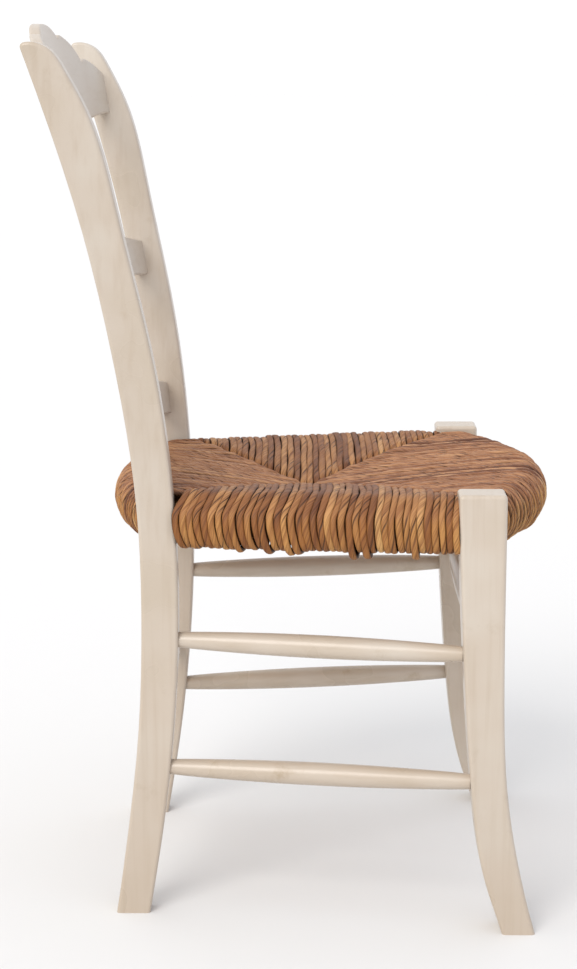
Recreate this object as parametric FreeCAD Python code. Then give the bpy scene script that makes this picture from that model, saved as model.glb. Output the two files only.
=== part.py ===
# Ladder-back dining chair with a rush seat. Millimetres, +Z up, the sitter faces -Y.
# Every member is its own solid; tenons sit in mortises cut from the member that holds them.
import math
import os

import FreeCAD
import Part

V = FreeCAD.Vector

# ---------------------------------------------------------------- posts and legs
HALF_FRONT = 225.0          # outer face of a front leg
LEG_T = 39.0                # front leg thickness across the chair
HALF_REAR = 170.0           # outer face of a rear post below the seat
POST_T = 25.5               # rear post thickness
INNER_FRONT = HALF_FRONT - LEG_T
INNER_REAR = HALF_REAR - POST_T
BLANK_LOW = -8.0            # the blanks run past the floor and are sawn off level

# Side profiles, as (height, y of the back edge, y of the front edge).
POST = [(BLANK_LOW, 202.8, 166.9), (0, 201.5, 165.6), (90, 188.5, 151.4), (200, 176.3, 139.0),
        (320, 171.6, 132.8), (450, 175.0, 136.5), (600, 194.6, 154.2), (750, 225.8, 185.8),
        (850, 255.0, 212.3)]
LEG = [(BLANK_LOW, -209.7, -244.4), (0, -207.3, -242.0), (60, -187.9, -226.6), (150, -173.3, -210.9),
       (260, -164.6, -205.0), (380, -158.4, -204.2), (470, -155.2, -204.0)]
# The post's rounded tip, as (y, height): where the back edge ends, where the top starts, and the
# top down to the front edge.
POST_BACK_END = (275.2, 911.0)
POST_TOP = [(271.0, 918.0), (262.0, 917.9), (247.6, 911.3), (233.6, 892.2)]
TIP_REACH = 4.0
# How far the posts lean outward, as (height, shift).
SPLAY = [(-60, 0.0), (300, 0.0), (400, 4.0), (500, 13.5), (650, 36.5), (800, 61.5), (990, 90.0)]
POST_ROUNDING = [3.2, 3.0, 2.6, 2.2, 1.8, 1.2]
LEG_ROUNDING = [4.0, 3.6, 3.2, 2.6, 2.0]

# ---------------------------------------------------------------- back boards
# y_end is a board's front face at its ends, at height z_ref; its middle stands back by bow.
CREST = {"y_end": 221.5, "z_ref": 836, "bow": 36, "rake": 0.235, "thick": 12.5}
CREST_HALF = 234.0
CREST_MIDDLE = [(-76, 922.6), (-50, 933.0), (0, 937.3), (50, 933.0), (76, 922.6)]
CREST_SHOULDER = [(76, 922.6), (82, 925.2), (104, 923.8), (136, 913.4), (157, 897.0)]
CREST_END = [(157, 897.0), (164, 899.4), (184, 897.4), (212, 887.4), (CREST_HALF, 871.0)]
CREST_LOWER = [(0, 825.0), (120, 830.0), (205, 836.6), (CREST_HALF, 835.5)]
CREST_ROUNDING = [2.6, 2.2, 1.8, 1.4, 1.0]
UPPER_SLAT = {"y_end": 188.0, "z_ref": 690, "bow": 26, "rake": 0.235, "thick": 12.0}
LOWER_SLAT = {"y_end": 155.5, "z_ref": 510, "bow": 20, "rake": 0.16, "thick": 12.0}
# half length, then (height at the middle, height at the ends) of the upper and the lower edge
UPPER_SLAT_OUTLINE = (197.0, (711.0, 689.5), (660.5, 650.0))
LOWER_SLAT_OUTLINE = (172.5, (549.5, 525.0), (503.0, 488.5))
SLAT_ROUNDING = [2.4, 2.0, 1.5, 1.0]
PAST_THE_BOARD = 30.0       # how far a board's blank runs past its outline

# ---------------------------------------------------------------- seat frame
SEAT_TILT = -1.0            # degrees; the seat leans back
RAIL_Z = 434.0              # middle of the rails, and the height that the seat tilts about
RAIL_W, RAIL_H = 20.0, 36.0
TENON_W, TENON_H = 10.0, 26.0
SIDE_RAIL_FRONT = (205.3, -151.8)       # shoulders stand clear of the leg and the post, under the rush
SIDE_RAIL_REAR = (164.6, 133.0)
SIDE_RAIL_W, SIDE_RAIL_TENON, SIDE_RAIL_ROUND = 21.0, 20.0, 7.0
FRONT_RAIL_Y, FRONT_RAIL_BOW, FRONT_RAIL_TENON = -186.0, -61.0, 12.0
REAR_RAIL_Y, REAR_RAIL_BOW, REAR_RAIL_TENON = 160.0, 30.0, 13.0
TENON_ROOT = 12.0           # how far a tenon's block runs back into its bowed rail
RAIL_ROUNDING = [7, 6, 5, 3]

# ---------------------------------------------------------------- rungs
RUNG_MID, RUNG_END, RUNG_TENON = 12.2, 8.0, 6.2         # radii
REAR_RUNG_MID, REAR_RUNG_END, REAR_RUNG_TENON = 11.4, 7.8, 6.0
TENON_TIP = 1.2             # chamfer on a round tenon
FRONT_RUNG_AT = (-180.5, 318.0)         # y, height
REAR_RUNG_AT = (157.0, 216.0)
RUNG_REACH, SIDE_RUNG_REACH = 12.0, 16.0
RUNG_GAP, SIDE_RUNG_GAP = 0.3, 0.6      # between a rung's shoulder and the face it meets
SIDE_RUNG_X = (157.2, 205.5)            # at the post, at the leg
SIDE_RUNGS = {"upper": (300.7, 299.4), "lower": (160.6, 161.7)}     # heights at the post, at the leg

# ---------------------------------------------------------------- rush seat
RUSH_LOW, RUSH_HIGH = 404.5, 463.0
RUSH_HALF_PLAN = [(0, -268.0), (60, -262.5), (120, -246.5), (168, -223.5), (196, -206.0), (217, -188.0),
                  (227, -163.0), (224.5, -110.0), (216.5, -40.0), (206.0, 30.0), (194.0, 95.0),
                  (184.5, 136.0), (174.0, 158.0), (153.0, 174.0), (112, 190.5), (60, 205.5), (0, 211.5)]
RUSH_ROUNDING = [27, 25, 23, 21, 18, 14, 10, 6]
DISH_Y = -12.0
DISH_TOP_R, DISH_TOP_Z = 536.0, 436.0   # the worn hollow of the seat: radius, and height of its lowest place
DISH_LOW_R, DISH_LOW_Z = 1400.0, 412.0  # and the shallower one under it
MESH_MM = 0.1               # fineness of the mesh that the overall size is read from


# ---------------------------------------------------------------- curves and solids
def spline(points):
    curve = Part.BSplineCurve()
    curve.interpolate([V(*p) for p in points])
    return curve.toShape()


def line(a, b):
    return Part.makeLine(V(*a), V(*b))


def bow_line(half, y_end, bow):
    return Part.Arc(V(-half, y_end, 0), V(0, y_end + bow, 0), V(half, y_end, 0)).toShape()


def face(edges):
    return Part.Face(Part.Wire(Part.__sortEdges__(edges)))


def round_between(first, second, reach):
    """A curve from the end of the first edge to the start of the second, tangent to both."""
    a = first.valueAt(first.LastParameter)
    b = second.valueAt(second.FirstParameter)
    leave = first.tangentAt(first.LastParameter)
    arrive = second.tangentAt(second.FirstParameter)
    curve = Part.BezierCurve()
    curve.setPoles([a, a + leave * reach, b - arrive * reach, b])
    return curve.toShape()


def smooth_edges(shape, edges, radii):
    """Rounds the edges with the largest of the radii that gives a sound solid."""
    for radius in radii:
        try:
            rounded = shape.makeFillet(radius, edges)
        except Part.OCCError:
            continue
        if rounded.isValid() and len(rounded.Solids) == 1 and rounded.Volume > 0.8 * shape.Volume:
            return rounded
    raise RuntimeError("none of the radii %s gives a sound solid" % radii)


def solid(shape):
    """The largest solid in the shape."""
    return max(shape.Solids, key=lambda s: s.Volume)


def mirror(shape):
    return shape.mirror(V(0, 0, 0), V(1, 0, 0))


def sawn_level(shape):
    below_floor = Part.makeBox(900, 900, 100, V(-450, -450, -100))
    return solid(shape.cut(below_floor))


def height_on(profile, z, column):
    """The profile's value in a column at height z, between its rows."""
    for low, high in zip(profile, profile[1:]):
        if low[0] <= z <= high[0]:
            share = (z - low[0]) / (high[0] - low[0])
            return low[column] + share * (high[column] - low[column])
    raise ValueError("height %s is off the profile" % z)


# ---------------------------------------------------------------- posts and legs
def rear_post():
    """A sawn side profile, up the back, round the tip and down the front, cut to the splayed width."""
    back = [(0, b, z) for z, b, _ in POST] + [(0,) + POST_BACK_END]
    front = [(0,) + p for p in POST_TOP] + [(0, f, z) for z, _, f in reversed(POST)]
    up = spline(back)
    down = spline(front)
    profile = Part.Face(Part.Wire([up, round_between(up, down, TIP_REACH), down, line(front[-1], back[0])]))
    slab = profile.extrude(V(240, 0, 0))
    slab.translate(V(60, 0, 0))
    outer = [(HALF_REAR + shift, 60, z) for z, shift in SPLAY]
    inner = [(x - POST_T, y, z) for x, y, z in outer]
    band = face([spline(outer), spline(inner), line(outer[0], inner[0]), line(outer[-1], inner[-1])])
    post = solid(slab.common(band.extrude(V(0, 300, 0))))
    edges = [e for e in post.Edges if e.BoundBox.ZMax > 1 and e.BoundBox.ZLength > 3]
    return sawn_level(smooth_edges(post, edges, POST_ROUNDING))


def front_leg():
    back = [(0, b, z) for z, b, _ in LEG]
    front = [(0, f, z) for z, _, f in LEG]
    profile = face([spline(back), spline(front), line(back[0], front[0]), line(back[-1], front[-1])])
    leg = profile.extrude(V(LEG_T, 0, 0))
    leg.translate(V(INNER_FRONT, 0, 0))
    leg = solid(leg)
    edges = [e for e in leg.Edges if e.BoundBox.ZMax > 1]
    return sawn_level(smooth_edges(leg, edges, LEG_ROUNDING))


# ---------------------------------------------------------------- back boards
def board(shape, outline, z_low, z_high, half, rounding):
    """A bowed strip, raked like the posts and trimmed to its outline as seen from the front."""
    y, thick, rake = shape["y_end"], shape["thick"], shape["rake"]
    plan = face([bow_line(half, y, shape["bow"]), line((half, y, 0), (half, y + thick, 0)),
                 bow_line(half, y + thick, shape["bow"]), line((-half, y + thick, 0), (-half, y, 0))])
    height = z_high - z_low
    strip = plan.extrude(V(0, rake * height, height))
    strip.translate(V(0, rake * (z_low - shape["z_ref"]), z_low))
    prism = face(outline).extrude(V(0, 260, 0))
    prism.translate(V(0, 100, 0))
    trimmed = solid(strip.common(prism))
    edges = [e for e in trimmed.Edges if e.BoundBox.XLength > 12]
    return smooth_edges(trimmed, edges, rounding)


def slat_edge(half, middle, end):
    """One long edge of a slat: high in the middle, flattening out at its ends."""
    points = []
    for share in (-1, -0.8, -0.55, -0.28, 0, 0.28, 0.55, 0.8, 1):
        rise = math.cos(0.5 * math.pi * abs(share)) ** 1.15
        points.append((share * half, 0, end + (middle - end) * rise))
    return spline(points)


def slat(shape, outline):
    half, upper, lower = outline
    edges = [slat_edge(half, *upper), slat_edge(half, *lower)]
    edges += [line((x, 0, lower[1]), (x, 0, upper[1])) for x in (half, -half)]
    low = lower[1] - PAST_THE_BOARD
    high = upper[0] + PAST_THE_BOARD
    return board(shape, edges, low, high, half + 12, SLAT_ROUNDING)


def mirrored(points):
    return [(-x, z) for x, z in reversed(points)]


def crest():
    """Three lobes on each side of the middle, each ending in a small nib."""
    lower = mirrored(CREST_LOWER) + CREST_LOWER[1:]
    runs = (CREST_MIDDLE, CREST_SHOULDER, CREST_END, mirrored(CREST_SHOULDER), mirrored(CREST_END), lower)
    edges = [spline([(x, 0, z) for x, z in run]) for run in runs]
    low, high = CREST_LOWER[-1][1], CREST_END[-1][1]
    edges += [line((x, 0, low), (x, 0, high)) for x in (CREST_HALF, -CREST_HALF)]
    z_low = CREST_LOWER[0][1] - PAST_THE_BOARD
    z_high = CREST_MIDDLE[2][1] + PAST_THE_BOARD
    return board(CREST, edges, z_low, z_high, CREST_HALF + 6, CREST_ROUNDING)


# ---------------------------------------------------------------- seat frame
def tilted(shape):
    shape.rotate(V(0, 0, RAIL_Z), V(1, 0, 0), SEAT_TILT)
    return shape


def bar(a, b, wide, high, past):
    """A straight bar at rail height between two places, running past each of them."""
    dx, dy = b[0] - a[0], b[1] - a[1]
    length = math.hypot(dx, dy)
    box = Part.makeBox(length + 2 * past, wide, high, V(-past, -wide / 2, -high / 2))
    if past == 0:
        box = box.makeFillet(SIDE_RAIL_ROUND, [e for e in box.Edges if e.BoundBox.XLength > 10])
    box.rotate(V(0, 0, 0), V(0, 0, 1), math.degrees(math.atan2(dy, dx)))
    box.translate(V(a[0], a[1], RAIL_Z))
    return box


def side_rail():
    body = bar(SIDE_RAIL_FRONT, SIDE_RAIL_REAR, SIDE_RAIL_W, RAIL_H, 0)
    tenon = bar(SIDE_RAIL_FRONT, SIDE_RAIL_REAR, TENON_W, TENON_H, SIDE_RAIL_TENON)
    return solid(tilted(body.fuse(tenon)))


def bowed_rail(y_end, bow, half, tenon):
    near, far = y_end - RAIL_W / 2, y_end + RAIL_W / 2
    ends = [line((x, near, 0), (x, far, 0)) for x in (half, -half)]
    body = face([bow_line(half, near, bow), bow_line(half, far, bow)] + ends).extrude(V(0, 0, RAIL_H))
    body.translate(V(0, 0, RAIL_Z - RAIL_H / 2))
    body = smooth_edges(body, [e for e in body.Edges if e.BoundBox.XLength > 60], RAIL_ROUNDING)
    for x in (half - TENON_ROOT, -half - tenon):
        block = Part.makeBox(tenon + TENON_ROOT, TENON_W, TENON_H)
        block.translate(V(x, y_end - TENON_W / 2, RAIL_Z - TENON_H / 2))
        body = body.fuse(block)
    return solid(tilted(body))


# ---------------------------------------------------------------- turned rungs
def rung(a, b, radii, reach):
    """A turned rung from a to b, fullest in the middle, with a round tenon at each end."""
    r_mid, r_end, r_tenon = radii
    a, b = V(*a), V(*b)
    n = (b - a).Length
    belly = []
    for share in (0, 0.06, 0.16, 0.3, 0.5, 0.7, 0.84, 0.94, 1.0):
        full = math.sin(math.pi * share) ** 0.8 if 0 < share < 1 else 0.0
        belly.append((share * n, 0, r_end + (r_mid - r_end) * full))
    tip = reach - TENON_TIP
    blunt = r_tenon - TENON_TIP
    corners = [(n, 0, r_end), (n, 0, r_tenon), (n + tip, 0, r_tenon), (n + reach, 0, blunt),
               (n + reach, 0, 0), (-reach, 0, 0), (-reach, 0, blunt), (-tip, 0, r_tenon),
               (0, 0, r_tenon), (0, 0, r_end)]
    edges = [spline(belly)] + [line(p, q) for p, q in zip(corners, corners[1:])]
    turned = solid(face(edges).revolve(V(0, 0, 0), V(1, 0, 0), 360))
    place = FreeCAD.Placement(a, FreeCAD.Rotation(V(1, 0, 0), b - a))
    return solid(turned.transformGeometry(place.toMatrix()))


def cross_rung(half, at, radii):
    y, z = at
    return rung((-half - RUNG_GAP, y, z), (half + RUNG_GAP, y, z), radii, RUNG_REACH)


def side_rung(z_post, z_leg):
    x_post, x_leg = SIDE_RUNG_X
    y_post = height_on(POST, z_post, 2) + SIDE_RUNG_GAP
    y_leg = height_on(LEG, z_leg, 1) - SIDE_RUNG_GAP
    radii = (RUNG_MID, RUNG_END, RUNG_TENON)
    return rung((x_post, y_post, z_post), (x_leg, y_leg, z_leg), radii, SIDE_RUNG_REACH)


# ---------------------------------------------------------------- rush seat
def rush_block():
    """The room that the woven rush takes: rounded rolls all round a shallow hollow."""
    other_half = [(-x, y) for x, y in reversed(RUSH_HALF_PLAN[1:-1])]
    curve = Part.BSplineCurve()
    curve.interpolate([V(x, y, RUSH_LOW) for x, y in RUSH_HALF_PLAN + other_half], PeriodicFlag=True)
    block = Part.Face(Part.Wire(curve.toShape())).extrude(V(0, 0, RUSH_HIGH - RUSH_LOW))
    block = smooth_edges(block, block.Edges, RUSH_ROUNDING)
    hollow = Part.makeSphere(DISH_TOP_R, V(0, DISH_Y, DISH_TOP_Z + DISH_TOP_R))
    under = Part.makeSphere(DISH_LOW_R, V(0, DISH_Y, DISH_LOW_Z - DISH_LOW_R))
    return tilted(solid(block.cut(hollow).cut(under)))


def less(shape, others):
    """The shape with the room of the others taken out of it."""
    for other in others:
        shape = shape.cut(other)
    return solid(shape)


# ---------------------------------------------------------------- assembly
def members():
    """Every node of the chair, by name. The left side is built and the right side is its mirror."""
    middle = {
        "crest_rail": crest(),
        "back_slat_upper": slat(UPPER_SLAT, UPPER_SLAT_OUTLINE),
        "back_slat_lower": slat(LOWER_SLAT, LOWER_SLAT_OUTLINE),
        "seat_rail_front": bowed_rail(FRONT_RAIL_Y, FRONT_RAIL_BOW, INNER_FRONT - 0.5, FRONT_RAIL_TENON),
        "seat_rail_rear": bowed_rail(REAR_RAIL_Y, REAR_RAIL_BOW, INNER_REAR + 5.0, REAR_RAIL_TENON),
        "front_rung": cross_rung(INNER_FRONT, FRONT_RUNG_AT, (RUNG_MID, RUNG_END, RUNG_TENON)),
        "rear_rung": cross_rung(INNER_REAR, REAR_RUNG_AT, (REAR_RUNG_MID, REAR_RUNG_END, REAR_RUNG_TENON)),
    }
    sided = {"seat_rail": side_rail()}
    for level, heights in SIDE_RUNGS.items():
        sided["side_rung_" + level] = side_rung(*heights)
    into_leg = [middle["seat_rail_front"], middle["front_rung"]] + list(sided.values())
    into_post = [middle[n] for n in ("crest_rail", "back_slat_upper", "back_slat_lower", "seat_rail_rear",
                                     "rear_rung")] + list(sided.values())
    leg, post = front_leg(), rear_post()
    side = sided["seat_rail"]
    rails = [middle["seat_rail_front"], middle["seat_rail_rear"], side, mirror(side)]
    uprights = [leg, mirror(leg), post, mirror(post)]
    middle["rush_seat"] = less(rush_block(), rails + uprights)
    sided["front_leg"] = less(leg, into_leg)
    sided["rear_post"] = less(post, into_post)
    both = {name + "_left": shape for name, shape in sided.items()}
    both.update({name + "_right": mirror(shape) for name, shape in sided.items()})
    return {**middle, **both}


def to_middle(nodes):
    """The move that centres the chair's overall box on the origin, front to back."""
    ys = [p.y for shape in nodes.values() for p in shape.tessellate(MESH_MM)[0]]
    return V(0, -(min(ys) + max(ys)) / 2, 0)


def write(nodes, folder):
    os.makedirs(folder, exist_ok=True)
    for old in os.listdir(folder):
        os.remove(os.path.join(folder, old))
    shift = to_middle(nodes)
    for name, shape in sorted(nodes.items()):
        placed = shape.copy()
        placed.translate(shift)
        placed.exportStep(os.path.join(folder, name + ".step"))
        print("%-24s valid %s, volume %8.0f" % (name, placed.isValid(), placed.Volume))


write(members(), "parts")
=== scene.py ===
# The looks of the dining chair: painted beech frame, woven rush seat, studio and camera.
import math
import random

import bmesh
import bpy
from mathutils import Matrix, Vector, noise


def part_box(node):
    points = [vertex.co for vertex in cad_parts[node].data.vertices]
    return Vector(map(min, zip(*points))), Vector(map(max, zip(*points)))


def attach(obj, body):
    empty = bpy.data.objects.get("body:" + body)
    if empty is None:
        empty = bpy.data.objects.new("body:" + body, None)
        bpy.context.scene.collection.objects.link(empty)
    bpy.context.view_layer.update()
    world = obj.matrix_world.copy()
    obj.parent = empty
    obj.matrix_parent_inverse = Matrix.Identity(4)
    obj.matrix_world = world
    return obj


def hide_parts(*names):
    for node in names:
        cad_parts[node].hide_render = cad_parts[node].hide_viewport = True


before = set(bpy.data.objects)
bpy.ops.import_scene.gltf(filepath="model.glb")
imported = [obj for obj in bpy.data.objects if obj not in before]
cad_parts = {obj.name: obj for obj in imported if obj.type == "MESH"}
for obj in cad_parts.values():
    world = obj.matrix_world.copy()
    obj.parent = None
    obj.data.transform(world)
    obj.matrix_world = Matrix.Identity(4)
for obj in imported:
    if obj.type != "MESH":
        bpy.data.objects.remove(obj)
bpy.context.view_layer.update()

# The seat and the camera are laid out with a Y zero of their own, in which the front of the front
# feet has this Y. SHIFT_Y carries a place from the layout into the frame.
LAYOUT_FEET_Y = -0.2420
SHIFT_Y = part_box("front_leg_left")[0].y - LAYOUT_FEET_Y


# ---------------------------------------------------------------- small helpers
def srgb(hex_code):
    """A colour written as RRGGBB, as linear RGBA."""
    out = []
    for i in (0, 2, 4):
        c = int(hex_code[i:i + 2], 16) / 255.0
        out.append(c / 12.92 if c <= 0.04045 else ((c + 0.055) / 1.055) ** 2.4)
    return tuple(out) + (1.0,)


def smooth(a, b, x):
    """0 at a, 1 at b, with a soft start and end."""
    t = held((x - a) / (b - a))
    return t * t * (3.0 - 2.0 * t)


def mix(a, b, t):
    """a where t is 0, b where t is 1."""
    return a + (b - a) * t


def held(value):
    """The value, held between 0 and 1."""
    return min(1.0, max(0.0, value))


def add_object(name, data):
    obj = bpy.data.objects.new(name, data)
    bpy.context.collection.objects.link(obj)
    return obj


def add_mesh_object(name, mesh, work, material):
    """Writes a worked mesh back, smooth and with outward faces, and puts it into the scene."""
    bmesh.ops.recalc_face_normals(work, faces=work.faces)
    work.to_mesh(mesh)
    work.free()
    mesh.polygons.foreach_set("use_smooth", [True] * len(mesh.polygons))
    mesh.materials.append(material)
    return add_object(name, mesh)


# ---------------------------------------------------------------- materials
PALE = (1.0, 1.0, 1.0, 1.0)
# The Mix node's colour sockets, which share their names with its other sockets.
MIX_FACTOR, MIX_A, MIX_B, MIX_RESULT = 0, 6, 7, 2


class Nodes:
    """A new material with a Principled surface. A source is a (node, output socket) pair."""

    def __init__(self, name):
        self.material = bpy.data.materials.new(name)
        self.material.use_nodes = True
        self.tree = self.material.node_tree
        self.tree.nodes.clear()
        output = self.add("ShaderNodeOutputMaterial")
        self.surface = self.add("ShaderNodeBsdfPrincipled")
        self.join((self.surface, "BSDF"), output, "Surface")

    def add(self, kind, **settings):
        node = self.tree.nodes.new(kind)
        for key, value in settings.items():
            setattr(node, key, value)
        return node

    def join(self, source, node, socket):
        self.tree.links.new(source[0].outputs[source[1]], node.inputs[socket])

    def feed(self, value, node, socket):
        """Puts a source, or a plain value, into a socket."""
        if isinstance(value, tuple) and isinstance(value[0], bpy.types.Node):
            self.join(value, node, socket)
        else:
            node.inputs[socket].default_value = value

    def noise(self, vector, stretch, detail=4.0, roughness=0.55):
        """Noise whose three scales, in turns per metre, are given by stretch."""
        mapping = self.add("ShaderNodeMapping")
        mapping.inputs["Scale"].default_value = stretch
        self.join(vector, mapping, "Vector")
        texture = self.add("ShaderNodeTexNoise")
        texture.inputs["Scale"].default_value = 1.0
        texture.inputs["Detail"].default_value = detail
        texture.inputs["Roughness"].default_value = roughness
        self.join((mapping, "Vector"), texture, "Vector")
        return (texture, "Fac")

    def ramp(self, source, *stops):
        """Colours at places from 0 to 1, as (place, colour) pairs."""
        node = self.add("ShaderNodeValToRGB")
        elements = node.color_ramp.elements
        while len(elements) < len(stops):
            elements.new(0.5)
        for element, (place, colour) in zip(elements, stops):
            element.position = place
            element.color = colour
        self.join(source, node, "Fac")
        return (node, "Color")

    def span(self, source, a, b, low=0.0, high=1.0):
        """low where the source is a or less, high where it is b or more."""
        node = self.add("ShaderNodeMapRange", interpolation_type="SMOOTHSTEP")
        for socket, value in zip(("From Min", "From Max", "To Min", "To Max"), (a, b, low, high)):
            node.inputs[socket].default_value = value
        self.join(source, node, "Value")
        return (node, "Result")

    def maths(self, operation, first, second=0.0):
        node = self.add("ShaderNodeMath", operation=operation)
        self.feed(first, node, 0)
        self.feed(second, node, 1)
        return (node, 0)

    def blend(self, factor, first, second, mode="MIX"):
        """The first colour where the factor is 0, the second over it where it is 1."""
        node = self.add("ShaderNodeMix", data_type="RGBA", blend_type=mode)
        self.feed(factor, node, MIX_FACTOR)
        self.feed(first, node, MIX_A)
        self.feed(second, node, MIX_B)
        return (node, MIX_RESULT)

    def split(self, source):
        """The three parts of a vector, each as a source."""
        node = self.add("ShaderNodeSeparateXYZ")
        self.join(source, node, "Vector")
        return (node, "X"), (node, "Y"), (node, "Z")

    def bump(self, height, strength, distance):
        node = self.add("ShaderNodeBump")
        node.inputs["Strength"].default_value = strength
        node.inputs["Distance"].default_value = distance
        self.join(height, node, "Height")
        self.join((node, "Normal"), self.surface, "Normal")

    def finish(self, colour, roughness, specular):
        self.feed(colour, self.surface, "Base Color")
        self.feed(roughness, self.surface, "Roughness")
        self.feed(specular, self.surface, "Specular IOR Level")
        return self.material


def painted_wood(name, grain_axis, wear=0.30):
    """Satin ivory paint with faint brush marks along the grain, a few rubbed brown places and
    painted shade that darkens the paint towards the floor."""
    m = Nodes(name)
    where = (m.add("ShaderNodeTexCoord"), "Object")
    brush_scale = [120.0, 120.0, 120.0]
    brush_scale[grain_axis] = 5.0
    clouds = m.noise(where, (7.0, 7.0, 7.0), 3.0)
    brush = m.noise(where, tuple(brush_scale), 4.0)
    rubbed = m.noise(where, (19.0, 19.0, 19.0), 6.0, 0.68)
    _, _, height = m.split(where)
    colour = m.ramp(clouds, (0.30, srgb("bbad9b")), (0.50, srgb("c2b5a6")), (0.70, srgb("c7bdb0")))
    marks = m.ramp(brush, (0.30, srgb("dccfbd")), (0.52, PALE))
    # painted shade: a mask that darkens the paint towards the floor, as if less light reached the feet
    floor_shade = m.span(height, 0.02, 0.42, 0.24, 0.0)
    worn = m.span(rubbed, 0.58, 0.78, 0.0, wear)
    colour = m.blend(0.22, colour, marks, "MULTIPLY")
    colour = m.blend(floor_shade, colour, srgb("a38f7a"))
    colour = m.blend(worn, colour, srgb("97805f"))
    m.bump(brush, 0.08, 0.0003)
    return m.finish(colour, m.span(clouds, 0.3, 0.7, 0.26, 0.34), 0.6)


def bare_wood():
    """Planed beech, only seen through gaps."""
    m = Nodes("bare_wood")
    grain = m.noise((m.add("ShaderNodeTexCoord"), "Object"), (40.0, 240.0, 480.0), 5.0)
    return m.finish(m.ramp(grain, (0.3, srgb("7f5a34")), (0.7, srgb("a97e4e"))), 0.7, 0.4)


def rush_cord():
    """Twisted rush leaves. Two vectors come with the mesh. "fibre" is where a point lies: along its
    cord, then across it in a section that turns with the twist. "facts" is the cord's own tone, how
    much of the pinker, greyer upward ramp its place takes, and how far round towards its neighbour
    the point is, which sets the painted shade in the seam between cords."""
    m = Nodes("rush_cord")
    fibre = (m.add("ShaderNodeAttribute", attribute_name="fibre"), "Vector")
    facts = (m.add("ShaderNodeAttribute", attribute_name="facts"), "Vector")
    _, inner, turned = m.split(fibre)
    tone, top, flank = m.split(facts)

    threads = m.noise(fibre, (16.0, 1100.0, 1100.0), 4.0, 0.6)
    leaves = m.noise(fibre, (9.0, 240.0, 240.0), 2.0)
    drift = m.maths("SUBTRACT", m.noise(fibre, (60.0, 0.0, 0.0), 1.0), 0.5)
    waver = m.maths("MULTIPLY", drift, 0.0022)
    present = m.span(m.noise(fibre, (17.0, 40.0, 40.0), 1.0), 0.46, 0.57)

    def crease(offset, facing):
        """The line between two leaves, whose darkness is painted shade: thin across offset, on one side
        of the cord only.
        """
        distance = m.maths("ABSOLUTE", m.maths("ADD", offset, waver))
        thin = m.span(distance, 0.00020, 0.00110, 1.0, 0.0)
        return m.maths("MULTIPLY", thin, m.span(facing, 0.0, 0.0010))

    either = m.maths("MAXIMUM", crease(turned, inner), crease(inner, turned))
    crease_shade_and_depth = m.maths("MULTIPLY", either, present)

    golden = m.ramp(tone, (0.0, srgb("6a3b15")), (0.25, srgb("96602b")), (0.55, srgb("bb874b")),
                    (0.80, srgb("cfa367")), (1.0, srgb("dbb985")))
    # a pinker, greyer ramp that upward-facing places take
    upward_tint = m.ramp(tone, (0.0, srgb("613620")), (0.30, srgb("956444")), (0.60, srgb("b5835e")),
                       (1.0, srgb("d0a177")))
    leaf_shade = m.ramp(leaves, (0.32, srgb("b08b6c")), (0.55, PALE))
    thread_shade = m.ramp(threads, (0.34, srgb("8a6442")), (0.54, PALE))
    # painted shade: the seam where neighbouring cords turn away from the light is darkened in the colour
    gap_shade_mask = m.span(flank, 0.74, 0.99, 0.0, 0.92)
    colour = m.blend(top, golden, upward_tint)
    colour = m.blend(0.6, colour, leaf_shade, "MULTIPLY")
    colour = m.blend(0.7, colour, thread_shade, "MULTIPLY")
    # painted shade: the creases between the leaves are darkened in the colour; the same mask cuts them
    # into the bump below
    colour = m.blend(m.maths("MULTIPLY", crease_shade_and_depth, 0.9), colour, srgb("3f210d"))
    colour = m.blend(gap_shade_mask, colour, srgb("2f1607"))

    height = m.maths("SUBTRACT", m.maths("ADD", threads, leaves), crease_shade_and_depth)
    m.bump(height, 0.7, 0.0009)
    return m.finish(colour, 0.56, 0.42)


def rush_stuffing():
    """Dry broken leaves, dark because no light reaches them."""
    m = Nodes("rush_stuffing")
    bits = m.noise((m.add("ShaderNodeTexCoord"), "Object"), (240.0, 240.0, 240.0), 4.0, 0.7)
    return m.finish(m.ramp(bits, (0.3, srgb("2c170a")), (0.7, srgb("53310f"))), 0.9, 0.2)


# ---------------------------------------------------------------- rush seat: shape of the whole
# In metres, with the layout's own Y zero. The front is -Y.
SIDE_FRONT = (0.2262, -0.157)       # outer edge of a side roll where it meets the front leg
SIDE_REAR = (0.1850, 0.1345)        # and where it meets the rear post
SIDE_BELLY = 0.003                  # how much fuller it is half way
FRONT_END, FRONT_BOW = (0.184, -0.2075), 0.0585
REAR_END, REAR_BOW = (0.150, 0.1760), 0.0345
CENTRE = Vector((0.0, -0.002))              # where the four panels meet
KNEE_FRONT = Vector((0.1840, -0.1600))      # where the seams reach the corners
KNEE_REAR = Vector((0.1500, 0.1245))
TOP_Z, LOW_Z = 0.4625, 0.4045               # crest and underside of the rolls
DIP_TOP, DIP_LOW = 0.0250, 0.0080           # how far each face comes in at the middle
LEAN_BACK = math.radians(-0.7)
PIVOT_Z = 0.434                     # the height that the seat leans about
KNEE_IN, KNEE_UP = 0.0025, 0.0385   # the sharp turn of a side roll

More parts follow.
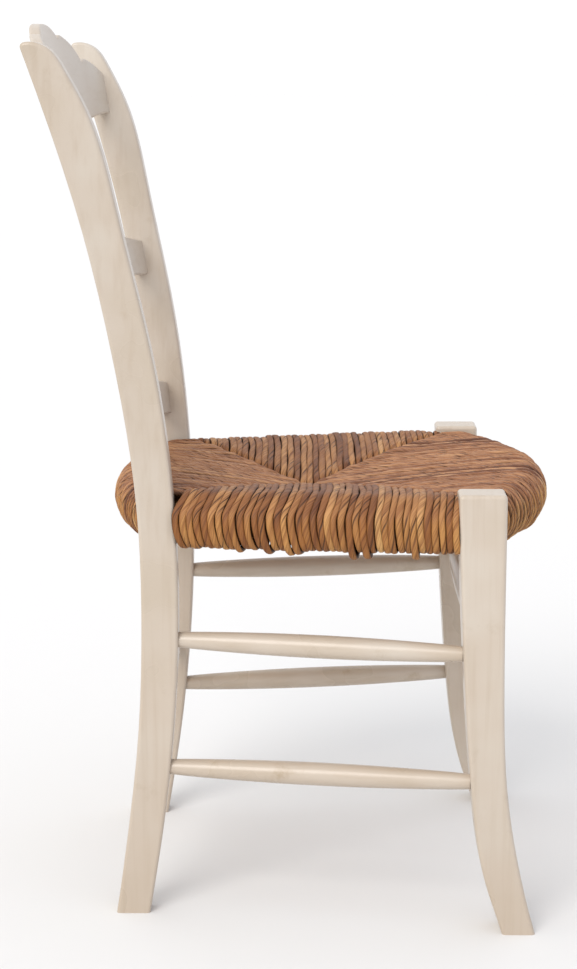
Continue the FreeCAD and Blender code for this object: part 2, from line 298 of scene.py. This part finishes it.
# Each roll in section, as (distance in from its edge, height above LOW_Z), from the top round to the
# underside. The side rolls are pulled over a sharp rail; the end rolls are round.
SIDE_ROLL = ((0.034, 0.0580), (0.024, 0.0562), (0.014, 0.0510), (0.007, 0.0450), (KNEE_IN, KNEE_UP),
             (0.0008, 0.0320), (0.0, 0.0240), (0.0010, 0.0150), (0.0045, 0.0065), (0.0110, 0.0012),
             (0.0200, 0.0))
END_ROLL_IN, END_ROLL_UP = 0.027, (TOP_Z - LOW_Z) / 2
END_ROLL_RUNS = 12
END_ROLL = tuple((END_ROLL_IN * (1 - math.sin(a)), END_ROLL_UP * (1 + math.cos(a)))
                 for a in (math.pi * i / END_ROLL_RUNS for i in range(END_ROLL_RUNS + 1)))


def side_edge(y):
    """How far out the side roll reaches at y."""
    t = (y - SIDE_FRONT[1]) / (SIDE_REAR[1] - SIDE_FRONT[1])
    return mix(SIDE_FRONT[0], SIDE_REAR[0], t) + SIDE_BELLY * math.sin(math.pi * held(t))


def front_edge(x):
    return FRONT_END[1] - FRONT_BOW * (1 - (x / FRONT_END[0]) ** 2)


def rear_edge(x):
    return REAR_END[1] + REAR_BOW * (1 - (x / REAR_END[0]) ** 2)


def sag(x, y):
    """1 at the middle of the seat, 0 where the rolls begin."""
    across = abs(x) / (side_edge(y) - SIDE_ROLL[0][0])
    if y < CENTRE.y:
        along = (CENTRE.y - y) / (CENTRE.y - front_edge(x) - END_ROLL_IN)
    else:
        along = (y - CENTRE.y) / (rear_edge(x) - END_ROLL_IN - CENTRE.y)
    return (1.0 - held(max(across, along))) ** 1.5


def tilted(p):
    """A layout place in the frame: the whole seat leans back a little."""
    z = p.z - PIVOT_Z
    return Vector((p.x,
                   p.y * math.cos(LEAN_BACK) - z * math.sin(LEAN_BACK) + SHIFT_Y,
                   p.y * math.sin(LEAN_BACK) + z * math.cos(LEAN_BACK) + PIVOT_Z))


# ---------------------------------------------------------------- rush seat: one cord
STEP = 0.0032                       # length of one stretch of a cord
SIDES = 16                          # corners of its section
CORD_R = 0.0038                     # half its width
FLAT = 0.84                         # its thickness against its width
SQUARE = 0.82                       # 1 for a round section, less for a squarer one
TUCK = 0.0045                       # how far it runs on past the seam
WIDTH_RANGE = (0.92, 1.10)          # a cord's width, against the usual one
LIFT_RANGE = (-0.0007, 0.0008)      # how high it lies on the roll, against the usual height
SLANT_RUN = 0.020                   # how soon a cord straightens once over the knee
LOW_SLANT = 0.42                    # how much of its slant it already has on the underside
DIVE, DIVE_RUN = 0.0065, 0.013      # how deep it goes at the seam, and over what length
# Along the underside, the distances in from the edge between which a loose cord starts to hang and
# hangs fully. On the roll, the same as heights. Then the heights between which a lift sets in.
HANG_FROM, HANG_FULL = 0.085, 0.020
HANG_TOP, HANG_BOTTOM = 0.036, 0.004
LIFT_FROM, LIFT_FULL = 0.030, 0.055


def rounded(points, parts=4):
    """The points joined by a smooth curve through them all."""
    out = []
    for i in range(len(points) - 1):
        p0, p1 = points[max(0, i - 1)], points[i]
        p2, p3 = points[i + 1], points[min(len(points) - 1, i + 2)]
        for j in range(parts):
            t = j / parts
            out.append(0.5 * (2 * p1 + (p2 - p0) * t + (2 * p0 - 5 * p1 + 4 * p2 - p3) * t * t
                              + (3 * p1 - p0 - 3 * p2 + p3) * t ** 3))
    return out + [points[-1]]


def inside(section, depth):
    """The section moved in by depth, as a cord's centre line lies under its skin."""
    out = []
    for i, p in enumerate(section):
        way = (section[min(len(section) - 1, i + 1)] - section[max(0, i - 1)]).normalized()
        out.append(p + Vector((-way.y, way.x)) * depth)
    return out


def slant(t):
    """How much of its sideways way a cord has gone at the distance t from the edge."""
    return 1.0 - math.exp(-max(0.0, t - KNEE_IN) / SLANT_RUN)


def cord_path(outer, inner, inward, roll, half, lift, hang):
    """Centre line of one wrap: from the seam over the top, round the roll and back underneath.
    It leaves the knee of the roll at a slant and straightens towards the seam."""
    depth = (inner - outer).dot(inward)
    aside = inner - outer - inward * depth
    reach = depth + TUCK

    def plan(t, below):
        upper_share = slant(t) / slant(depth)
        lower_share = mix(LOW_SLANT, 1.0, upper_share)
        return outer + inward * t + aside * mix(upper_share, lower_share, below)

    def web(t, below):
        p = plan(t, below)
        dive = DIVE * smooth(reach - DIVE_RUN, reach, t)
        if below:
            drop = hang * smooth(HANG_FROM, HANG_FULL, t)
            return Vector((p.x, p.y, LOW_Z + half - drop + DIP_LOW * sag(p.x, p.y) + dive))
        return Vector((p.x, p.y, TOP_Z - half + lift - DIP_TOP * sag(p.x, p.y) - dive))

    section = inside(rounded([Vector(p) for p in roll]), half)
    start, end = section[0].x, section[-1].x
    upper_runs = max(2, round((reach - start) / STEP))
    lower_runs = max(2, round((reach - end) / STEP))
    points = [web(mix(reach, start, i / upper_runs), 0) for i in range(upper_runs)]
    for t, up in section:
        p = plan(t, 1.0 - held(up / KNEE_UP))
        drop = hang * smooth(HANG_TOP, HANG_BOTTOM, up)
        raised = lift * smooth(LIFT_FROM, LIFT_FULL, up)
        points.append(Vector((p.x, p.y, LOW_Z + up + raised - drop)))
    points += [web(mix(end, reach, i / lower_runs), 1) for i in range(1, lower_runs + 1)]
    return points


def even(points, step):
    """The same line with evenly spaced points."""
    lengths = [(b - a).length for a, b in zip(points, points[1:])]
    total = sum(lengths)
    count = max(4, round(total / step))
    out = [points[0]]
    passed, i = 0.0, 0
    for k in range(1, count):
        want = total * k / count
        while passed + lengths[i] < want:
            passed += lengths[i]
            i += 1
        out.append(points[i].lerp(points[i + 1], (want - passed) / lengths[i]))
    return out + [points[-1]]


def boxy(share):
    """Squares off a cord's round section a little, as its neighbours press on it."""
    return math.copysign(abs(share) ** SQUARE, share)


DARK_SHARE, DARK_TONES = 0.07, (0.05, 0.20)     # how many cords are dark, and how dark
TONE_SPREAD = 0.13                  # how far the other cords' tones spread
CORD_APART = 1.9                    # moves each cord's fibre on, so that no two look alike
GROOVE = 0.42                       # half the width of the twist's groove, in radians
OVAL = 0.05                         # how far the turning section is from round
# Slow changes along a cord, as (how large, how many in a metre).
SWELL = (0.15, 36)                  # of its width
SIDE_WANDER = (0.0016, 17)          # of its place, towards its neighbours
RISE_WANDER = (0.0011, 34)          # of its place, in and out
TONE_WANDER = (0.18, 11)            # of its tone
FACES_UP = (0.05, 0.75)             # how far up a place faces when the upward tint starts, and is full


class Panel:
    """Gathers many cords into one mesh with the two vectors that its material reads."""

    def __init__(self, seed, roll, look):
        self.rng = random.Random(seed)
        self.roll = roll
        self.look = look
        self.points, self.faces, self.fibre, self.facts = [], [], [], []
        self.cords = 0

    def own_tone(self):
        """How light a cord is: most lie near the panel's tone, a few are much darker."""
        if self.rng.random() < DARK_SHARE:
            return self.rng.uniform(*DARK_TONES)
        return held(self.rng.gauss(self.look["tone"], TONE_SPREAD))

    def cord(self, outer, inner, inward, hang=0.0):
        """Adds one wrap, with a width, twist, tone and wander of its own."""
        rng = self.rng
        self.cords += 1
        width = CORD_R * rng.uniform(*WIDTH_RANGE)
        lift = rng.uniform(*LIFT_RANGE)
        line = even(cord_path(outer, inner, inward, self.roll, width * FLAT, lift, hang), STEP)
        across = Vector((-inward.y, inward.x, 0.0))
        pitch = rng.uniform(*self.look["pitch"])
        phase = rng.uniform(0, 2 * math.pi)
        tone = self.own_tone()
        uneven = self.look["uneven"]
        seed = Vector((rng.uniform(0, 90), rng.uniform(0, 90), rng.uniform(0, 90)))
        first, last = len(self.points), len(line) - 1
        for k, p in enumerate(line):
            s = k * STEP
            tangent = (line[min(last, k + 1)] - line[max(0, k - 1)]).normalized()
            out = across.cross(tangent).normalized()
            sideways = tangent.cross(out)
            thick = 1 + SWELL[0] * uneven * noise.noise(seed + Vector((0, s * SWELL[1], 0)))
            aside = SIDE_WANDER[0] * uneven * noise.noise(seed + Vector((s * SIDE_WANDER[1], 0, 0)))
            rise = RISE_WANDER[0] * uneven * noise.noise(seed + Vector((0, 0, s * RISE_WANDER[1])))
            shade = tone + TONE_WANDER[0] * noise.noise(seed + Vector((s * TONE_WANDER[1], 5, 0)))
            # how much of the pinker, greyer upward ramp this place takes, by how far it faces up
            upward_tint = self.look["up_tint_share"] * smooth(*FACES_UP, out.z)
            twist = 2 * math.pi * s / pitch + phase
            centre = p + sideways * aside
            centre += out * rise
            self.ring(centre, out, sideways, width * thick, twist, s + CORD_APART * self.cords,
                      (held(shade), upward_tint))
        self.skin(first, last)

    def ring(self, centre, out, sideways, width, twist, along, facts):
        """Adds one section of a cord, with what its material needs to know at each corner."""
        for j in range(SIDES):
            a = 2 * math.pi * j / SIDES
            b = a - twist
            groove = math.exp(-(math.remainder(b, 2 * math.pi) / GROOVE) ** 2)
            r = width * (1 + OVAL * math.cos(2 * b) - self.look["relief"] * groove)
            up = boxy(math.cos(a)) * r * FLAT
            aside = boxy(math.sin(a)) * r
            self.points.append(tilted(centre + out * up + sideways * aside))
            self.fibre.append((along, width * math.cos(b), width * math.sin(b)))
            # flank, times the look's gap, sets how much painted shade the seam to the neighbour gets
            flank = abs(math.sin(a)) if math.cos(a) > 0 else 1.0
            self.facts.append((*facts, flank * self.look["gap"]))

    def skin(self, first, last):
        """Joins a cord's sections with faces and closes its two ends."""
        for k in range(last):
            a, b = first + k * SIDES, first + (k + 1) * SIDES
            for j in range(SIDES):
                n = (j + 1) % SIDES
                self.faces.append((a + j, b + j, b + n, a + n))
        self.faces.append(tuple(first + j for j in range(SIDES)))
        self.faces.append(tuple(first + last * SIDES + j for j in reversed(range(SIDES))))

    def mesh(self, name, material):
        mesh = bpy.data.meshes.new(name)
        mesh.from_pydata([tuple(p) for p in self.points], [], self.faces)
        for label, values in (("fibre", self.fibre), ("facts", self.facts)):
            layer = mesh.attributes.new(label, "FLOAT_VECTOR", "POINT")
            layer.data.foreach_set("vector", [v for row in values for v in row])
        work = bmesh.new()
        work.from_mesh(mesh)
        return add_mesh_object(name, mesh, work, material)


# ---------------------------------------------------------------- rush seat: the four panels
LEG_FACE, POST_FACE = -0.1556, 0.1358       # the faces of the leg and the post beside the side roll
FRONT_STOP, REAR_STOP = LEG_FACE, 0.1410    # where the side cords begin and end along their rails
PARTING_Y = 0.0125                          # the side cord that runs to the centre
AHEAD, BEHIND = 23, 17                      # side cords in front of it and behind it
FRONT_CORDS, FRONT_HALF = 48, 0.1830
REAR_CORDS, REAR_HALF = 39, 0.1480
JITTER = 0.0004                     # how far a cord may lie from its even place
SLACK_SIDE, SLACK_END = 0.0015, 0.0012      # how far an ordinary cord may hang under its roll
LOOSE_SHARE, LOOSE_END = 0.08, (0.0025, 0.0045)     # how many end cords are loose, and how far they hang
LOOSE_NEAR = 0.0036                 # a cord this near to a loose place is the loose one
# relief: how deep the twist cuts into a cord. uneven: how much it wanders and swells. pitch: the
# shortest and longest turn of its twist. tone: how light it is. up_tint_share: how far its upward
# faces take the pinker, greyer ramp. gap: how dark the painted shade in the seam to its neighbour is.
SIDE_LOOK = {"relief": 0.11, "uneven": 1.0, "pitch": (0.042, 0.085),
             "tone": 0.41, "up_tint_share": 0.42, "gap": 1.0}
END_LOOK = {"relief": 0.30, "uneven": 1.2, "pitch": (0.030, 0.056),
            "tone": 0.51, "up_tint_share": 0.90, "gap": 0.90}
# Cords that have worked loose under the side rolls, as (place along the rail, how far they hang).
LOOSE_RIGHT = ((0.074, 0.0035), (0.044, 0.0045), (0.027, 0.0055), (0.019, 0.0045),
               (-0.040, 0.0085), (-0.0585, 0.0080), (-0.1045, 0.0065))
LOOSE_LEFT = ((0.092, 0.0040), (0.047, 0.0060), (-0.021, 0.0050), (-0.083, 0.0070), (-0.128, 0.0040))


def hanging(loose, y):
    """How far the side cord at y hangs, or 0 if it isn't a loose one."""
    for place, drop in loose:
        if abs(y - place) < LOOSE_NEAR:
            return drop
    return 0.0


def side_panel(sign, loose, seed):
    """The panel on one side, +1 for the left: cords from the seams out over the side rail."""
    panel = Panel(seed, SIDE_ROLL, SIDE_LOOK)
    inward = Vector((-sign, 0.0))
    parts = ((FRONT_STOP, PARTING_Y, KNEE_FRONT, CENTRE, AHEAD),
             (PARTING_Y, REAR_STOP, CENTRE, KNEE_REAR, BEHIND))
    for y_from, y_to, knee_from, knee_to, count in parts:
        for i in range(count):
            t = (i + 0.5) / count
            y = mix(y_from, y_to, t)
            knee = knee_from.lerp(knee_to, t)
            hang = hanging(loose, y) or panel.rng.uniform(0.0, SLACK_SIDE)
            outer = Vector((sign * side_edge(y), y + panel.rng.uniform(-JITTER, JITTER)))
            panel.cord(outer, Vector((sign * knee.x, knee.y)), inward, hang)
    return panel


def end_panel(edge, half, knee, count, seed):
    """The panel at the front or the rear, whose outer edge is edge(x)."""
    panel = Panel(seed, END_ROLL, END_LOOK)
    inward = Vector((0.0, math.copysign(1.0, CENTRE.y - edge(0.0))))
    for i in range(count):
        x = half * (2 * (i + 0.5) / count - 1)
        inner = CENTRE.lerp(knee, abs(x) / half)
        hang = panel.rng.uniform(0.0, SLACK_END)
        if panel.rng.random() < LOOSE_SHARE:
            hang = panel.rng.uniform(*LOOSE_END)
        outer = Vector((x + panel.rng.uniform(-JITTER, JITTER), edge(x)))
        panel.cord(outer, Vector((math.copysign(inner.x, x), inner.y)), inward, hang)
    return panel


# ---------------------------------------------------------------- rush seat: the stuffing
SKIN = 0.0066                       # how far the stuffing stays under the outside of the cords
SPOKES, RINGS = 120, 14
CORE_ROUND = 0.026                  # how far in its edge is rounded
CORE_LEAST, CORE_STEP = 0.05, 0.001     # where the search for its edge starts, and its steps


def in_core(x, y):
    """True inside the plan of the stuffing, which stops at the legs and the posts."""
    if abs(x) > side_edge(y) - SKIN or not front_edge(x) + SKIN < y < rear_edge(x) - SKIN:
        return False
    at_leg = abs(x) > FRONT_END[0] and y < LEG_FACE
    at_post = abs(x) > REAR_END[0] and y > POST_FACE
    return not at_leg and not at_post


def core_reach(a):
    """How far the stuffing reaches from the centre in the direction a."""
    reach = CORE_LEAST
    while in_core(reach * math.cos(a), CENTRE.y + reach * math.sin(a)):
        reach += CORE_STEP
    return reach


def core_spoke(work, a):
    """One spoke's upper and lower corners, from the centre out. They share the last one."""
    middle = (TOP_Z + LOW_Z) / 2
    reach = core_reach(a)
    upper, lower = [], []
    for k in range(1, RINGS + 1):
        r = reach * math.sin(math.pi / 2 * k / RINGS)
        x, y = r * math.cos(a), CENTRE.y + r * math.sin(a)
        near = min(1.0, (reach - r) / CORE_ROUND)
        full = math.sqrt(1 - (1 - near) ** 2)
        top = TOP_Z - SKIN - DIP_TOP * sag(x, y)
        low = LOW_Z + SKIN + DIP_LOW * sag(x, y)
        upper.append(work.verts.new(tilted(Vector((x, y, mix(middle, top, full))))))
        if k < RINGS:
            lower.append(work.verts.new(tilted(Vector((x, y, mix(middle, low, full))))))
    lower.append(upper[-1])
    return upper, lower


def core_face(work, spokes, pole_z):
    """Fills one face of the stuffing between its spokes and a pole at the centre."""
    pole = work.verts.new(tilted(Vector((0.0, CENTRE.y, pole_z))))
    for here, there in zip(spokes, spokes[1:] + spokes[:1]):
        work.faces.new((pole, here[0], there[0]))
        for k in range(RINGS - 1):
            work.faces.new((here[k], here[k + 1], there[k + 1], there[k]))


def stuffing():
    """The dry filling between the upper and lower cords, seen only as the dark of the gaps."""
    work = bmesh.new()
    spokes = [core_spoke(work, 2 * math.pi * i / SPOKES) for i in range(SPOKES)]
    core_face(work, [upper for upper, _ in spokes], TOP_Z - SKIN - DIP_TOP)
    core_face(work, [lower for _, lower in spokes], LOW_Z + SKIN + DIP_LOW)
    return add_mesh_object("rush_stuffing", bpy.data.meshes.new("rush_stuffing"), work, rush_stuffing())


def rush_seat():
    """The woven seat, in place of the plain CAD solid."""
    cord = rush_cord()
    pieces = [
        side_panel(1, LOOSE_LEFT, 11).mesh("rush_panel_left", cord),
        side_panel(-1, LOOSE_RIGHT, 12).mesh("rush_panel_right", cord),
        end_panel(front_edge, FRONT_HALF, KNEE_FRONT, FRONT_CORDS, 13).mesh("rush_panel_front", cord),
        end_panel(rear_edge, REAR_HALF, KNEE_REAR, REAR_CORDS, 14).mesh("rush_panel_rear", cord),
        stuffing(),
    ]
    for piece in pieces:
        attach(piece, "root")
        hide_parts("rush_seat")


# ---------------------------------------------------------------- frame materials
def dress_frame():
    """Gives each wooden CAD piece its paint, with the grain along the piece."""
    upright = painted_wood("painted_wood_upright", 2)
    across = painted_wood("painted_wood_across", 0)
    along = painted_wood("painted_wood_along", 1, 0.55)
    bare = bare_wood()
    starts = (("seat_rail", bare), ("side_rung", along), ("front_leg", upright), ("rear_post", upright),
              ("crest", across), ("back_slat", across), ("front_rung", across), ("rear_rung", across))
    for name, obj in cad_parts.items():
        for start, material in starts:
            if name.startswith(start):
                for place in obj.material_slots:
                    place.material = material


# ---------------------------------------------------------------- camera and studio
CAMERA_AT = Vector((-2.392, SHIFT_Y, 0.915))    # level with the top of the back, off the right side
CAMERA_TURN, CAMERA_DOWN = math.radians(0.80), math.radians(11.32)
LENS_MM, SENSOR_MM = 81.55, 36.0
LENS_SHIFT = 0.0135


def camera():
    """Looks across the chair from its right side, turned a little and tipped down."""
    level = Vector((math.cos(CAMERA_TURN), math.sin(CAMERA_TURN), 0.0))
    right = Vector((math.sin(CAMERA_TURN), -math.cos(CAMERA_TURN), 0.0))
    plumb = Vector((0.0, 0.0, 1.0))
    view = level * math.cos(CAMERA_DOWN) - plumb * math.sin(CAMERA_DOWN)
    up = plumb * math.cos(CAMERA_DOWN) + level * math.sin(CAMERA_DOWN)
    data = bpy.data.cameras.new("camera")
    data.lens = LENS_MM
    data.sensor_width = SENSOR_MM
    data.shift_x = LENS_SHIFT
    obj = add_object("camera", data)
    obj.matrix_world = Matrix.Translation(CAMERA_AT) @ Matrix((right, up, -view)).transposed().to_4x4()
    bpy.context.scene.camera = obj


SUN_AT, SUN_AIM = Vector((-2.3, 1.2, 2.4)), Vector((0.0, 0.0, 0.45))
SUN_COLOUR, SUN_STRENGTH = (1.0, 0.97, 0.93), 1.60
SUN_WIDTH = math.radians(34)        # wide, so that shadows are soft
SKY_STRENGTH = 1.05
# The sky's colour, from -Y (0) through the sides and overhead (0.5) to +Y (1).
SKY_STOPS = ((0.0, (0.62, 0.66, 0.75, 1.0)),
             (0.42, (0.98, 0.98, 1.0, 1.0)),
             (1.0, (1.0, 0.99, 0.96, 1.0)))
FLOOR_GREY, FLOOR_HALF = 0.79, 40.0


def sun():
    data = bpy.data.lights.new("key", "SUN")
    data.angle = SUN_WIDTH
    data.color = SUN_COLOUR
    data.energy = SUN_STRENGTH
    obj = add_object("key", data)
    obj.location = SUN_AT
    obj.rotation_euler = (SUN_AIM - SUN_AT).to_track_quat("-Z", "Y").to_euler()


def sky():
    """Bright and warm from behind the chair, dimmer and cooler from the front."""
    world = bpy.data.worlds.new("studio")
    world.use_nodes = True
    nodes, links = world.node_tree.nodes, world.node_tree.links
    direction = nodes.new("ShaderNodeTexCoord")
    split = nodes.new("ShaderNodeSeparateXYZ")
    place = nodes.new("ShaderNodeMapRange")
    place.inputs["From Min"].default_value = -1.0
    ramp = nodes.new("ShaderNodeValToRGB")
    ramp.color_ramp.elements.new(0.5)
    for element, (position, colour) in zip(ramp.color_ramp.elements, SKY_STOPS):
        element.position = position
        element.color = colour
    links.new(direction.outputs["Generated"], split.inputs[0])
    links.new(split.outputs["Y"], place.inputs["Value"])
    links.new(place.outputs["Result"], ramp.inputs["Fac"])
    links.new(ramp.outputs["Color"], nodes["Background"].inputs["Color"])
    nodes["Background"].inputs["Strength"].default_value = SKY_STRENGTH
    bpy.context.scene.world = world


def floor():
    """A plain matt floor, so wide that no view sees its edge."""
    half = FLOOR_HALF
    mesh = bpy.data.meshes.new("floor")
    mesh.from_pydata([(-half, -half, 0), (half, -half, 0), (half, half, 0), (-half, half, 0)],
                     [], [(0, 1, 2, 3)])
    mesh.materials.append(Nodes("floor").finish((FLOOR_GREY, FLOOR_GREY, FLOOR_GREY, 1.0), 0.9, 0.0))
    add_object("floor", mesh)


def studio():
    bpy.context.scene.view_settings.view_transform = "Standard"
    sky()
    sun()
    floor()


camera()
studio()
dress_frame()
rush_seat()
